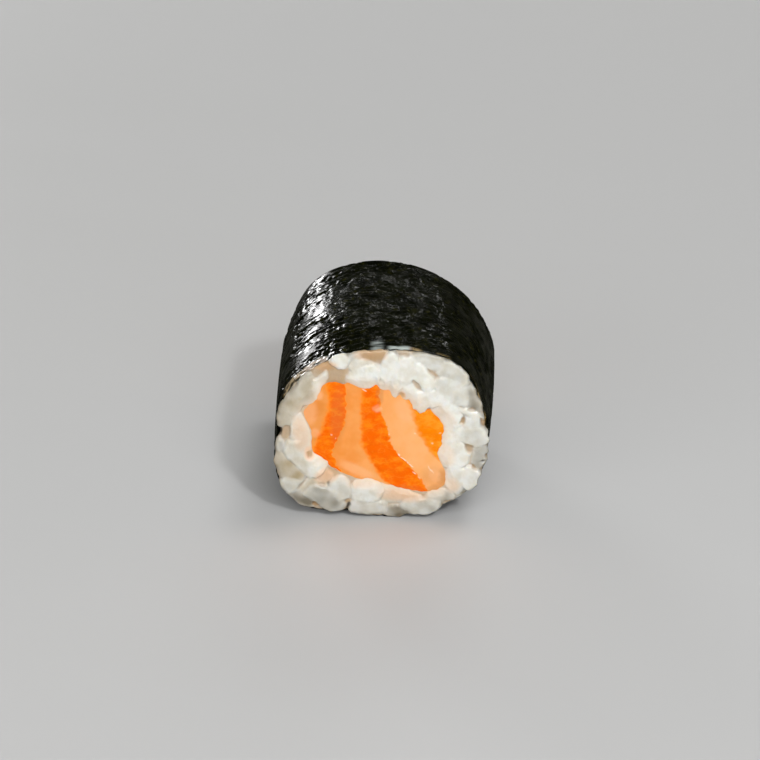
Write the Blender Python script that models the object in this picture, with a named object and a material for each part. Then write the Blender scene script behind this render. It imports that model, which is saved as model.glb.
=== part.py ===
"""One piece of salmon hosomaki: a strip of salmon in rice, rolled up in a single sheet of nori.

The piece lies on its side, as it is served. Its two cut faces look along -Y, the front, and +Y, the
back. X runs across the front from left to right. The origin is on the surface that the piece lies on,
below its middle. Sizes here are in millimetres, and MM turns them into Blender's metres.
"""

import math
import random

import bmesh
import bpy
import numpy as np
from mathutils import Matrix, Vector

MM = 0.001

# The roll. Its section isn't round: it sags, with a squarer right shoulder at the front and a squarer
# left one at the back. Each outline is the distance from the roll's axis to the outside of the nori,
# at even angles counted anticlockwise from +X, seen from the front.
LENGTH = 26.7
AXIS_HEIGHT = 12.0
FRONT_RADII = (
    13.8, 14.0, 14.8, 13.7, 12.95, 13.2, 13.8, 14.2,
    13.8, 15.1, 14.8, 12.1, 12.0, 12.4, 13.1, 14.0,
)
BACK_RADII = (
    14.7, 13.7, 13.0, 12.7, 12.8, 13.3, 13.9, 13.7,
    14.3, 15.0, 14.6, 13.2, 12.8, 13.2, 14.2, 14.8,
)
BULGE = 0.3  # how much the middle swells beyond the two cut ends
SIDES = 64  # points round each section of the rice and the salmon

# The nori: one sheet, wound a little more than once, with its seam underneath.
NORI_THICK = 0.35
NORI_STEPS = 84  # steps round one whole turn
OVERLAP_STEPS = 11
LIFT = 14.0  # degrees over which the sheet comes out from under its own outer end
SEAM_START = 236.0  # where the sheet's inner end lies, in degrees
LAYER_GAP = 0.06  # between the two layers of the overlap
NORI_STATIONS = 7  # sections along the length

# Gap that keeps neighbouring pieces apart.
CLEARANCE = 0.3

# The salmon: the corners of its section at the front, as (x, height), anticlockwise from the right.
SALMON_CORNERS = (
    (8.2, 12.0), (8.0, 14.2), (5.8, 16.9), (3.0, 18.8), (-0.4, 19.9), (-4.6, 20.1),
    (-7.6, 20.0), (-8.4, 17.8), (-10.4, 15.9), (-9.3, 13.0), (-9.2, 9.9), (-7.4, 8.1),
    (-4.2, 6.2), (1.2, 4.9), (5.2, 4.0), (7.9, 4.6), (8.5, 6.6), (7.4, 9.6),
)
SALMON_DRIFT = (0.5, -0.2)  # how far the strip wanders across and up, from front to back
SALMON_TURN = -5.0  # degrees that it turns on the way
SALMON_PROUD = 0.3  # its cut faces stand out this far beyond the nori's edges
SALMON_STATIONS = 5
CAP_RINGS = 11  # rings of points on each cut face
CAP_REACH = 0.97  # the outermost ring, as a share of the outline

# Bands of orange flesh between paler ones. Each side of a band runs through (height, x) points.
FLESH_BANDS = (
    (((4, -11.5), (8, -9.8), (12, -8.2), (16, -6.9), (20, -7.1)),
     ((4, -4.0), (8, -6.4), (12, -5.9), (16, -4.9), (20, -5.0))),
    (((4, 2.6), (8, -1.3), (12, -3.0), (16, -2.5), (20, -1.8)),
     ((4, 5.9), (8, 3.6), (12, 0.9), (16, -0.3), (20, -0.4))),
    (((4, 9.9), (8, 7.5), (12, 5.3), (16, 3.8), (20, 3.0)),
     ((4, 13.0), (8, 13.0), (12, 13.0), (16, 13.0), (20, 13.0))),
)
RIM_SETBACK = 0.12  # the outer edges of the cut faces are rounded back this far
FLESH_PROUD = 0.18  # the flesh stands out this far from the paler bands
BAND_EDGE = 0.5  # width over which it does so

# The rice: a plain core inside the roll, with grains at both cut faces.
CORE_SETBACK = 0.7  # from the nori's edge to the core's end
GRAINS_PER_FACE = 48
GRAIN_SIZE = (5.0, 3.2, 2.7)  # length, width and thickness
GRAIN_SPREAD = 0.12  # share by which each of these varies
GRAIN_PROFILE = ((-0.86, 0.62), (-0.38, 1.0), (0.38, 1.0), (0.86, 0.62))  # its rings' places and sizes
GRAIN_SIDES = 6
GRAIN_SINK = 0.35  # the grains' middles lie this far in or out of the core's end
GRAIN_BAND = (0.1, 0.94)  # where they lie, as shares of the way from the salmon to the nori
GRAIN_TURN = 60.0  # most degrees between a grain and the way round the roll
GRAIN_TILT = 25.0  # most degrees between a grain and the cut face
GRAIN_PROUD = 0.9  # grains stand out at most this far beyond the nori's edges
GRAIN_OVERHANG = (0.25, 0.5)  # there they reach over its front and back edges, this far inside its outline
RICE_STATIONS = 5
CANDIDATES = 40  # places tried for each grain, of which the emptiest is taken
SEED = 7
WELD = 0.002  # points closer than this become one

# Colour and roughness of each material, and the bend in degrees beyond which an edge looks sharp.
NORI_LOOK = ((0.012, 0.017, 0.009, 1.0), 0.4, 40)
RICE_LOOK = ((0.80, 0.77, 0.68, 1.0), 0.45, 65)
SALMON_LOOK = ((0.93, 0.25, 0.04, 1.0), 0.35, 50)


def catmull_rom(knots, places):
    """Values of the smooth closed curve through the knots, at places counted in knots."""
    knots = np.asarray(knots, float)
    first = np.floor(places).astype(int)
    t = places - first
    if knots.ndim > 1:
        t = t[..., None]
    before, start, end, after = (knots[(first + k) % len(knots)] for k in (-1, 0, 1, 2))
    return 0.5 * (
        2 * start
        + (end - before) * t
        + (2 * before - 5 * start + 4 * end - after) * t**2
        + (3 * start - before - 3 * end + after) * t**3
    )


def smooth_step(t):
    """Rises smoothly from 0 to 1 as t does."""
    t = np.clip(t, 0, 1)
    return t * t * (3 - 2 * t)


def roll_radius(angles, along):
    """Distance from the axis to the outside of the roll; along is 0 at the front and 1 at the back."""
    places = angles / 360 * len(FRONT_RADII)
    front = catmull_rom(FRONT_RADII, places)
    back = catmull_rom(BACK_RADII, places)
    return front + (back - front) * along + BULGE * 4 * along * (1 - along)


def roll_grid(angles, along, inset):
    """Points this far inside the roll's outline, flattened where it lies, one row for each angle."""
    angles, inset = np.reshape(angles, (-1, 1)), np.reshape(inset, (-1, 1))
    reach = roll_radius(angles, along) - inset
    turned = np.radians(angles)
    x = reach * np.cos(turned)
    z = np.maximum(AXIS_HEIGHT + reach * np.sin(turned), inset)
    y = np.broadcast_to((along - 0.5) * LENGTH, x.shape)
    return np.stack([x, y, z], axis=-1)


def salmon_radius(angles):
    """Distance from the axis to the salmon's outline at the front."""
    places = np.arange(0, len(SALMON_CORNERS), 0.025)
    x, z = catmull_rom(SALMON_CORNERS, places).T
    turned = np.degrees(np.arctan2(z - AXIS_HEIGHT, x))
    return np.interp(angles, turned, np.hypot(x, z - AXIS_HEIGHT), period=360)


def salmon_grid(angles, along, grow, y=None):
    """Points this far outside the salmon's outline, one row for each angle."""
    angles = np.reshape(angles, (-1, 1))
    reach = salmon_radius(angles - SALMON_TURN * along) + grow
    turned = np.radians(angles)
    x = reach * np.cos(turned) + SALMON_DRIFT[0] * along
    z = AXIS_HEIGHT + reach * np.sin(turned) + SALMON_DRIFT[1] * along
    y = np.broadcast_to((along - 0.5) * LENGTH if y is None else y, x.shape)
    return np.stack([x, y, z], axis=-1)


def rice_inset(angles):
    """From the roll's outline to the rice: the nori, twice where it overlaps, and the clearance."""
    overlap = OVERLAP_STEPS * 360 / NORI_STEPS
    past_start = (angles - SEAM_START + LIFT) % 360
    double = smooth_step(past_start / LIFT) * (1 - smooth_step((past_start - overlap - 2 * LIFT) / LIFT))
    return NORI_THICK + CLEARANCE + double * (NORI_THICK + LAYER_GAP)


def new_object(name, points, faces, collection=None):
    """A mesh object made of points in millimetres."""
    mesh = bpy.data.meshes.new(name)
    mesh.from_pydata([Vector(point) * MM for point in points], [], faces)
    body = bpy.data.objects.new(name, mesh)
    (collection or bpy.context.scene.collection).objects.link(body)
    return body


def finish(body, look):
    """Gives the body its material and smooth shading."""
    colour, roughness, sharp = look
    material = bpy.data.materials.new(body.name)
    material.use_nodes = True
    shader = material.node_tree.nodes["Principled BSDF"]
    shader.inputs["Base Color"].default_value = colour
    shader.inputs["Roughness"].default_value = roughness
    shader.inputs["Metallic"].default_value = 0.0
    body.data.materials.clear()
    body.data.materials.append(material)
    body.data.shade_smooth()
    body.data.set_sharp_from_angle(angle=math.radians(sharp))


def shell(name, outer, inner, closed):
    """The solid between two grids of points; closed joins its last row to its first."""
    rows, columns = outer.shape[:2]
    points = np.concatenate([outer.reshape(-1, 3), inner.reshape(-1, 3)])

    def at(row, column, layer):
        return layer * rows * columns + (row % rows) * columns + column

    faces = []
    for row in range(rows if closed else rows - 1):
        for column in range(columns - 1):
            ring = [(row, column), (row, column + 1), (row + 1, column + 1), (row + 1, column)]
            faces.append([at(r, c, 0) for r, c in ring])
            faces.append([at(r, c, 1) for r, c in reversed(ring)])
        for column, order in ((0, -1), (columns - 1, 1)):
            rim = [at(row, column, 0), at(row, column, 1), at(row + 1, column, 1), at(row + 1, column, 0)]
            faces.append(rim[::order])
    if not closed:
        for column in range(columns - 1):
            for row, order in ((0, 1), (rows - 1, -1)):
                rim = [at(row, column, 0), at(row, column, 1), at(row, column + 1, 1), at(row, column + 1, 0)]
                faces.append(rim[::order])
    return new_object(name, points, faces)


def make_nori():
    """The sheet, from its inner end under the overlap once round to its outer end."""
    step = 360 / NORI_STEPS
    turned = np.arange(NORI_STEPS + OVERLAP_STEPS + 1) * step
    under = 1 - smooth_step((turned - OVERLAP_STEPS * step) / LIFT)
    depth = under * (NORI_THICK + LAYER_GAP)
    along = np.linspace(0, 1, NORI_STATIONS)
    outer = roll_grid(SEAM_START + turned, along, depth)
    inner = roll_grid(SEAM_START + turned, along, depth + NORI_THICK)
    finish(shell("nori", outer, inner, False), NORI_LOOK)


def flesh_at(x, z):
    """1 on a band of orange flesh and 0 on the paler ones, with soft sides."""
    inside = np.zeros_like(x)
    for sides in FLESH_BANDS:
        left, right = (np.interp(z, *np.transpose(side)) for side in sides)
        depth = np.minimum(x - left, right - x)
        inside = np.maximum(inside, smooth_step(depth / BAND_EDGE + 0.5))
    return inside


def salmon_cap(outline, outwards):
    """The rings of one cut face, from its outline to its middle, with the bands of flesh standing out."""
    middle = outline.mean(axis=0)
    shares = np.linspace(CAP_REACH, 0, CAP_RINGS + 1)[:-1]
    rings = [middle + (outline - middle) * share for share in shares] + [middle[None]]
    for ring in rings:
        ring[:, 1] += outwards * (RIM_SETBACK + FLESH_PROUD * flesh_at(ring[:, 0], ring[:, 2]))
    return rings


def make_salmon():
    """The strip of salmon, with a dense face at each end."""
    angles = np.arange(SIDES) * 360 / SIDES
    along = np.linspace(0, 1, SALMON_STATIONS)
    half = LENGTH / 2 + SALMON_PROUD - FLESH_PROUD - RIM_SETBACK
    side = salmon_grid(angles, along, 0, np.linspace(-half, half, SALMON_STATIONS))
    front = salmon_cap(side[:, 0], -1)
    back = salmon_cap(side[:, -1], 1)
    loops = front[-2::-1] + [side[:, k] for k in range(SALMON_STATIONS)] + back[:-1]
    points = np.concatenate([front[-1]] + loops + [back[-1]])

    def at(loop, place):
        return 1 + loop * SIDES + place % SIDES

    last = len(points) - 1
    faces = [[0, at(0, k), at(0, k + 1)] for k in range(SIDES)]
    for loop in range(len(loops) - 1):
        faces += [[at(loop, k), at(loop + 1, k), at(loop + 1, k + 1), at(loop, k + 1)] for k in range(SIDES)]
    faces += [[last, at(len(loops) - 1, k + 1), at(len(loops) - 1, k)] for k in range(SIDES)]
    finish(new_object("salmon", points, faces), SALMON_LOOK)


def rice_sleeve():
    """All the space that the rice may fill: inside the nori, round the salmon and over the nori's edges."""
    angles = np.arange(SIDES) * 360 / SIDES
    stations = np.linspace(0, 1, RICE_STATIONS)
    along = np.concatenate([[0, 0], stations, [1, 1]])
    outer = roll_grid(angles, along, rice_inset(angles))
    inner = salmon_grid(angles, along, CLEARANCE)
    for end, outwards, overhang in ((0, -1, GRAIN_OVERHANG[0]), (-1, 1, GRAIN_OVERHANG[1])):
        step = -outwards
        over_rim = roll_grid(angles, along[[end]], np.full(SIDES, overhang))[:, 0]
        outer[:, end], outer[:, end + step] = over_rim, over_rim
        for grid in (outer, inner):
            grid[:, end, 1] += outwards * GRAIN_PROUD
            grid[:, end + step, 1] += outwards * CLEARANCE
        outer[:, end + 2 * step, 1] += outwards * CLEARANCE
    return shell("sleeve", outer, inner, True)


def spread_places(draw, along):
    """Even places for grains on one cut face, each the emptiest of several tries."""
    places = []
    along = np.array([along])
    while len(places) < GRAINS_PER_FACE:
        angles = np.array([draw.uniform(0, 360) for _ in range(CANDIDATES)])
        shares = np.array([[draw.uniform(*GRAIN_BAND)] for _ in range(CANDIDATES)])
        inner = salmon_grid(angles, along, CLEARANCE)[:, 0]
        outer = roll_grid(angles, along, rice_inset(angles))[:, 0]
        tries = inner + (outer - inner) * shares
        room = [min((math.dist(spot, other) for other in places), default=0) for spot in tries]
        places.append(tries[int(np.argmax(room))])
    return places


def add_grain(size, placing, collection):
    """A plump grain with blunt tips, made along X and then placed."""
    length, width, thickness = size
    rings = len(GRAIN_PROFILE)
    points = [(-length / 2, 0, 0)]
    for place, share in GRAIN_PROFILE:
        for k in range(GRAIN_SIDES):
            turned = 2 * math.pi * k / GRAIN_SIDES
            y = share * width / 2 * math.cos(turned)
            z = share * thickness / 2 * math.sin(turned)
            points.append((place * length / 2, y, z))
    points.append((length / 2, 0, 0))

    def at(ring, side):
        return 1 + ring * GRAIN_SIDES + side % GRAIN_SIDES

    faces = []
    for k in range(GRAIN_SIDES):
        faces.append([0, at(0, k + 1), at(0, k)])
        faces.append([len(points) - 1, at(rings - 1, k), at(rings - 1, k + 1)])
        for ring in range(rings - 1):
            faces.append([at(ring, k), at(ring, k + 1), at(ring + 1, k + 1), at(ring + 1, k)])
    new_object("grain", points, faces, collection).data.transform(placing)


def grain_placing(draw, spot, outwards):
    """Puts a grain at the core's end, lying nearly in the cut face and mostly round the roll."""
    round_roll = math.degrees(math.atan2(spot[2] - AXIS_HEIGHT, spot[0])) + 90
    turn = round_roll + draw.uniform(-GRAIN_TURN, GRAIN_TURN)
    tilt = draw.uniform(-GRAIN_TILT, GRAIN_TILT)
    spin = draw.uniform(-90, 90)
    placing = Matrix.Identity(4)
    for angle, axis in ((-turn, "Y"), (tilt, "Z"), (spin, "X")):
        placing = placing @ Matrix.Rotation(math.radians(angle), 4, axis)
    y = outwards * (LENGTH / 2 - CORE_SETBACK + draw.uniform(-GRAIN_SINK, GRAIN_SINK))
    return Matrix.Translation(Vector((spot[0], y, spot[2])) * MM) @ placing


def add_grains(collection):
    """The grains of both cut faces, no two alike."""
    draw = random.Random(SEED)
    for along, outwards in ((0, -1), (1, 1)):
        for spot in spread_places(draw, along):
            size = [edge * (1 + draw.uniform(-GRAIN_SPREAD, GRAIN_SPREAD)) for edge in GRAIN_SIZE]
            add_grain(size, grain_placing(draw, spot, outwards), collection)


def apply_modifier(body, modifier):
    """Makes the body's modifier real."""
    bpy.context.view_layer.update()
    graph = bpy.context.evaluated_depsgraph_get()
    made = bpy.data.meshes.new_from_object(body.evaluated_get(graph))
    body.modifiers.remove(modifier)
    body.data = made


def keep_largest_part(mesh):
    """Drops loose scraps and sealed hollows, which are the smaller closed surfaces in the mesh."""
    bm = bmesh.new()
    bm.from_mesh(mesh)
    bmesh.ops.remove_doubles(bm, verts=bm.verts, dist=WELD * MM)
    unseen = set(bm.verts)
    parts = []
    while unseen:
        front = [unseen.pop()]
        part = list(front)
        while front:
            near = {edge.other_vert(vert) for vert in front for edge in vert.link_edges}
            front = [vert for vert in near if vert in unseen]
            unseen.difference_update(front)
            part += front
        parts.append(part)
    parts.sort(key=len)
    bmesh.ops.delete(bm, geom=[vert for part in parts[:-1] for vert in part], context="VERTS")
    bm.to_mesh(mesh)
    bm.free()


def make_rice():
    """A slab with grains fused on both of its ends, trimmed to the space between nori and salmon."""
    rice = new_object("rice", [], [])
    wide = 3 * AXIS_HEIGHT
    size = Vector((wide, LENGTH - 2 * CORE_SETBACK, wide)) * MM
    bm = bmesh.new()
    bmesh.ops.create_cube(bm, size=1, matrix=Matrix.LocRotScale((0, 0, AXIS_HEIGHT * MM), None, size))
    bm.to_mesh(rice.data)
    bm.free()

    grains = bpy.data.collections.new("grains")
    bpy.context.scene.collection.children.link(grains)
    add_grains(grains)
    union = rice.modifiers.new("grains", "BOOLEAN")
    union.operation = "UNION"
    union.operand_type = "COLLECTION"
    union.collection = grains
    apply_modifier(rice, union)
    for grain in list(grains.objects):
        bpy.data.objects.remove(grain)
    bpy.data.collections.remove(grains)

    sleeve = rice_sleeve()
    trim = rice.modifiers.new("sleeve", "BOOLEAN")
    trim.operation = "INTERSECT"
    trim.object = sleeve
    apply_modifier(rice, trim)
    bpy.data.objects.remove(sleeve)
    keep_largest_part(rice.data)
    finish(rice, RICE_LOOK)


def main():
    for body in list(bpy.data.objects):
        bpy.data.objects.remove(body)
    make_nori()
    make_salmon()
    make_rice()


main()
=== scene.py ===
"""Looks of one piece of salmon hosomaki: crinkled nori, pressed rice grains and banded salmon.

Lengths are in millimetres, in the part's own frame: X across the front cut face, Y along the roll to
the back, Z up. MM turns them into Blender's metres. What the photograph places is given in its pixels,
x to the right and y down, and is projected onto the front cut face.
"""

import math
import random

import bpy
import numpy as np
from mathutils import Matrix, Vector, noise
from mathutils.bvhtree import BVHTree


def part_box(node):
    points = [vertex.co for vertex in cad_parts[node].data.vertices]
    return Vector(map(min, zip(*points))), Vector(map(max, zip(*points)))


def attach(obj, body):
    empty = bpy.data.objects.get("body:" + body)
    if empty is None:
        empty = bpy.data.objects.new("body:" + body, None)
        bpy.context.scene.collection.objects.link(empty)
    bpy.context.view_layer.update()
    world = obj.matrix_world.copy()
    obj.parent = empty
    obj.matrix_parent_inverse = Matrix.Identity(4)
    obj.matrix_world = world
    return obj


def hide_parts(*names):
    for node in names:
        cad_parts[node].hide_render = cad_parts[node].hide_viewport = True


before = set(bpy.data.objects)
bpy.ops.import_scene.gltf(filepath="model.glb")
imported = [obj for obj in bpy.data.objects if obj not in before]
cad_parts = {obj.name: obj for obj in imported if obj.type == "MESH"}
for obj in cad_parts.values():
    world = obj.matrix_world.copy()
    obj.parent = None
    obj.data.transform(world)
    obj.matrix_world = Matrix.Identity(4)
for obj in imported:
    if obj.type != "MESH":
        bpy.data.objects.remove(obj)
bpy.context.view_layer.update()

MM = 0.001
SEED = 11

# The camera, fitted to the photograph.
PHOTO_SIDE = 760
CAMERA_AT = (10.8, -409.2, 226.5)
CAMERA_DOWN = math.radians(27.5)
CAMERA_TURN = math.radians(1.6)  # to its left
RIGHT = np.array((math.cos(CAMERA_TURN), math.sin(CAMERA_TURN), 0))
AHEAD = np.array((-math.sin(CAMERA_TURN), math.cos(CAMERA_TURN), 0))
FORWARD = AHEAD * math.cos(CAMERA_DOWN) - np.array((0, 0, math.sin(CAMERA_DOWN)))
UP = np.cross(RIGHT, FORWARD)
SENSOR = 36.0
LENS = 163.5
FOCAL = LENS / SENSOR * PHOTO_SIDE  # the lens in pixels
CAMERA_NEAR = 0.01  # metres

# The roll, as the CAD has it.
AXIS_HEIGHT = 12.0
NORI_LOW, NORI_HIGH = (np.array(corner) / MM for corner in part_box("nori"))
HALF = (NORI_HIGH[1] - NORI_LOW[1]) / 2  # from the middle to the nori's edges
SEAM = 283.14  # degrees round the roll to the sheet's outer end
OVERLAP = 47.14  # degrees
LAYERS = 0.41  # from one layer's outside to the next one's, in the overlap
END_INSET = 0.5  # from the nori's edges to where the ends' outlines are measured
OUTLINE_BLUR = 3  # points on each side over which they are smoothed

# The nori's fine surface.
NORI_AROUND = 470
NORI_ALONG = 180
NORI_RIM = 3  # columns of inner points at each edge
NORI_INSIDE = 12  # and one column in so many between those
NORI_THICK = 0.22
NORI_CAST = 0.02  # from the CAD's edges to the last place measured
NORI_EDGE = 0.07  # from the CAD's edges to the sheet's own
NORI_ROUNDING = (0.07, 0.3)  # how far they are rounded off, and from how far away

# Noise is given in rows of depth, lump size and where it is read.
NORI_RAGGED = ((0.07, 9.0, 43.0),)  # with lumps in degrees
CREASE_BENDS = ((0.9, 5.0, 0.0), (0.4, 2.0, 3.0))
CREASE_WAVES = ((0.25, (4.5, 3.5, 4.5), 19.0),)
# Creases run where noise is nought. For each kind: its lump size round and along the roll, where it is
# read, how far the sheet swells between the creases, and how much further on the sides.
CREASES = (
    (4.2, 1.05, 7.0, 0.1, 0.2),
    (2.0, 0.5, 11.0, 0.1, 0.08),
    (1.7, 1.3, 13.0, 0.3, 0),
    (0.9, 0.7, 17.0, 0.28, 0),
    (0.55, 0.42, 21.0, 0.12, 0),
)
CREASE_BOTTOM = 0.3  # how far below the smooth outline they lie
CREASE_LIMITS = (0.02, 0.42)  # the least and the most for the whole sheet
PLAIN_TOP = (88, 18, 25)  # the plainer top's middle, its reach to each side and its fade, in degrees

# Marks on the nori's front rim: degrees round the roll, half the length, the reach back, how golden they
# are, and how strong the painted highlight on them is.
RIM_MARKS = (
    (142, 12, 1.3, 0.7, 0.15),
    (130, 8, 1.4, 0.3, 0.8),
    (160, 7, 0.8, 0.6, 0.0),
    (93, 3, 2.2, 0.0, 0.5),
    (80, 6, 0.7, 0.0, 0.8),
    (71, 2.5, 0.6, 0.8, 0.0),
    (56, 3, 0.5, 0.6, 0.0),
    (31, 7, 0.5, 0.7, 0.0),
    (8, 7, 0.5, 0.8, 0.0),
)
MARK_FADES = (4, 0.6)  # degrees round the roll and millimetres along it in which one fades
MARK_STREAKS = ((1.6, (1.8, 0.4, 1.8), 5.0),)  # these break the marks up
MARK_COVER = 0.65  # and this fills them in

# The rice's fine surface.
RICE_AROUND = 720
RICE_ACROSS = 54
RICE_LOWEST = 0.06  # above the ground
RICE_DEPTH = 2.0  # from the nori's edges back to a cut face's last points
RICE_TURN = 0.1  # how far it turns back under its borders
SALMON_ROOM = 0.05  # beside the salmon
NORI_ROOM = 0.62  # from the roll's outline, for the nori
GRAIN_WARPS = (  # what bends the grains' outlines, across and up
    ((0.16, 1.4, 3.0), (0.08, 0.45, 5.0)),
    ((0.16, 1.4, 8.0), (0.08, 0.45, 9.0)),
)
GRAIN_SPREAD = 0.23  # from a grain's outline out to its foot
GRAIN_SOFTNESS = 0.075  # where grains meet
GRAIN_CORNERS = 0.15  # how round they are
GRAIN_EDGE = 0.5  # the width of one's rounded edge
GRAIN_DEPTH = 0.45  # from its top to its foot
GRAIN_CROWN = (0.2, 1.2)  # what its middle adds, as a share, and over which width
GRAIN_FOOT = 4  # how steeply it falls beyond its foot
GRAIN_TILTS = (0.02, 0.09)  # how much its top slopes
GRAIN_RELIEF = ((0.035, 0.9, 27.0), (0.025, 0.38, 29.0))
TALL = (0.65, 0.5)  # what stands out further is pressed down, by this share
MASH_LEVEL = 0.15  # beyond the nori's edges, between the grains
MASH_RELIEF = ((0.1, 0.9, 23.0),)
MASH_TAN = 0.5  # how tan it is
HOLLOW_SPREAD = 0.15  # from a hollow's outline out to its wall
HOLLOW_WALL = 0.25  # that wall's width

# The rice's looks, and how one grain's turns into the next one's.
GRAIN_LOOKS = ("beige", "grey", "tan", "dark")
RICE_VALUES = (*GRAIN_LOOKS, "blush", "thin_edge_glow")
LOOK_SOFTNESS = 0.14
LOOK_EDGE = 0.75  # a look's strength at a grain's edge
LOOK_MIDDLE = (0.3, 0.9)  # what its middle has more, and over which width
LOOK_GAIN = 1.15  # for the beige and the grey
LOOK_CLOUDS = (0.5, 0.08)  # how much clouds change these two, as a share and as such
CLOUD_NOISE = ((1.0, 1.5, 33.0),)

# Where the rice meets the salmon and the nori.
SALMON_LAP = 0.15  # how far the rice laps over the salmon's edge
LAP_SEARCH = np.linspace(-1.6, 0.3, 39)  # where grains that lap further are looked for
LAP_RISE = 0.12  # how far such a grain stands out beyond the flesh
BORDER_BLUR = 2  # points on each side over which borders are smoothed
START_RAGGED = ((0.2, 0.8, 47.0),)  # how far the border to the salmon wanders
START_INSET = 0.05
LAP_THICK = (0.06, 0.9)  # the least rice on its edge, and over which width
LAP_DIP = 0.03  # how far the very border lies below the salmon
LAP_SLOPE = 0.3  # how steeply it may rise from there
GRAIN_LEVEL = 0.35  # what is lower at the nori is a gap between grains
BORDER_READ = 0.2  # how far from the nori's outline that is read
GAP = (0.45, 0.4)  # how far the rice draws back there, and over which height
BULGE = (0.3, 0.2)  # the same for grains that reach out over the front rim
END_RAGGED = ((0.12, 0.9, 51.0),)
END_SETBACK = 0.03
RIM_LAP = 0.04  # how far the front rice reaches beyond the roll's outline
RIM_INSET = 0.08  # how far it stays inside that outline at the top
RIM_TOP = (75, 25)  # degrees to each side where that ends, and over which
BACK_INSET = 0.45  # how far the back rice stays inside it
WORN = ((1.0, 0.8, 53.0),)  # where the rim is worn more or less
RIM_WIDTH = (0.42, 0.25)  # how wide the rim's rounding is, and how much that varies
RIM_DROP = (0.3, 0.2)  # the same for how far it drops
RIM_SHADE = (0.7, 0.6)  # painted shade greying the rice's rim where it meets the nori, partly the nori showing behind the rice: how grey, and how far in
SHADE_WORN = 0.5  # how much that varies
SHADE_HIDDEN = (0.8, 0.5, 0.3)  # the share that thick rice hides, from this height, over this much
BLUSH_WIDE = (0.22, 1.7, 1.5)  # the salmon's tint on the rice: strength, reach and how it falls off
BLUSH_NARROW = (0.6, 0.25)  # and right at the border: strength and reach
THIN_REACH = 0.4  # over which the rice gets thick from there, and over which its painted brightening fades

# Grains on the back cut face, by a rule.
BACK_GRAINS = 50
BACK_TRIES = 30  # the roomiest of so many places is taken
BACK_SHARES = (0.08, 0.93)  # of the way from the salmon to the nori
BACK_SIZES = ((3.0, 4.8), (2.2, 2.9))
BACK_LEAN = 60  # degrees to each side of lying round the roll
BACK_CORNERS = 7
BACK_JITTER = 0.3  # of the way from one corner to the next
BACK_LOOKS = ("white", "white", "beige", "grey")
BACK_TOPS = (0.35, 0.8)
BACK_STRENGTHS = (0.1, 0.4)

# The salmon's fine surface.
SALMON_AROUND = 480
SALMON_ALONG = 5
SALMON_FRONT, SALMON_BACK = 110, 60  # rings of points on the cut faces
SALMON_VALUES = ("flesh", "yellow", "side", "painted_highlight", "brown", "cloud")
FLESH_LEVEL = 0.28
FAT_LEVEL = 0.25
SALMON_RELIEF = ((0.06, 3.0, 37.0),)
FLESH_RELIEF = ((0.07, 0.7, 41.0),)
BAND_WARPS = ((1.6, 1.1, 31.0), (1.8, 0.45, 35.0))  # in pixels
LEFT_SOFTNESS = 9.0  # pixels over which a band fades on its left
RIGHT_SOFTNESS = 2.5
FAT_SIDES = (330, 90)  # the pixel from which the left fat turns into the right one, and over how many
SPECK_WARPS = ((0.15, 0.5, 61.0),)
SPECK_HEIGHT = 0.04

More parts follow.
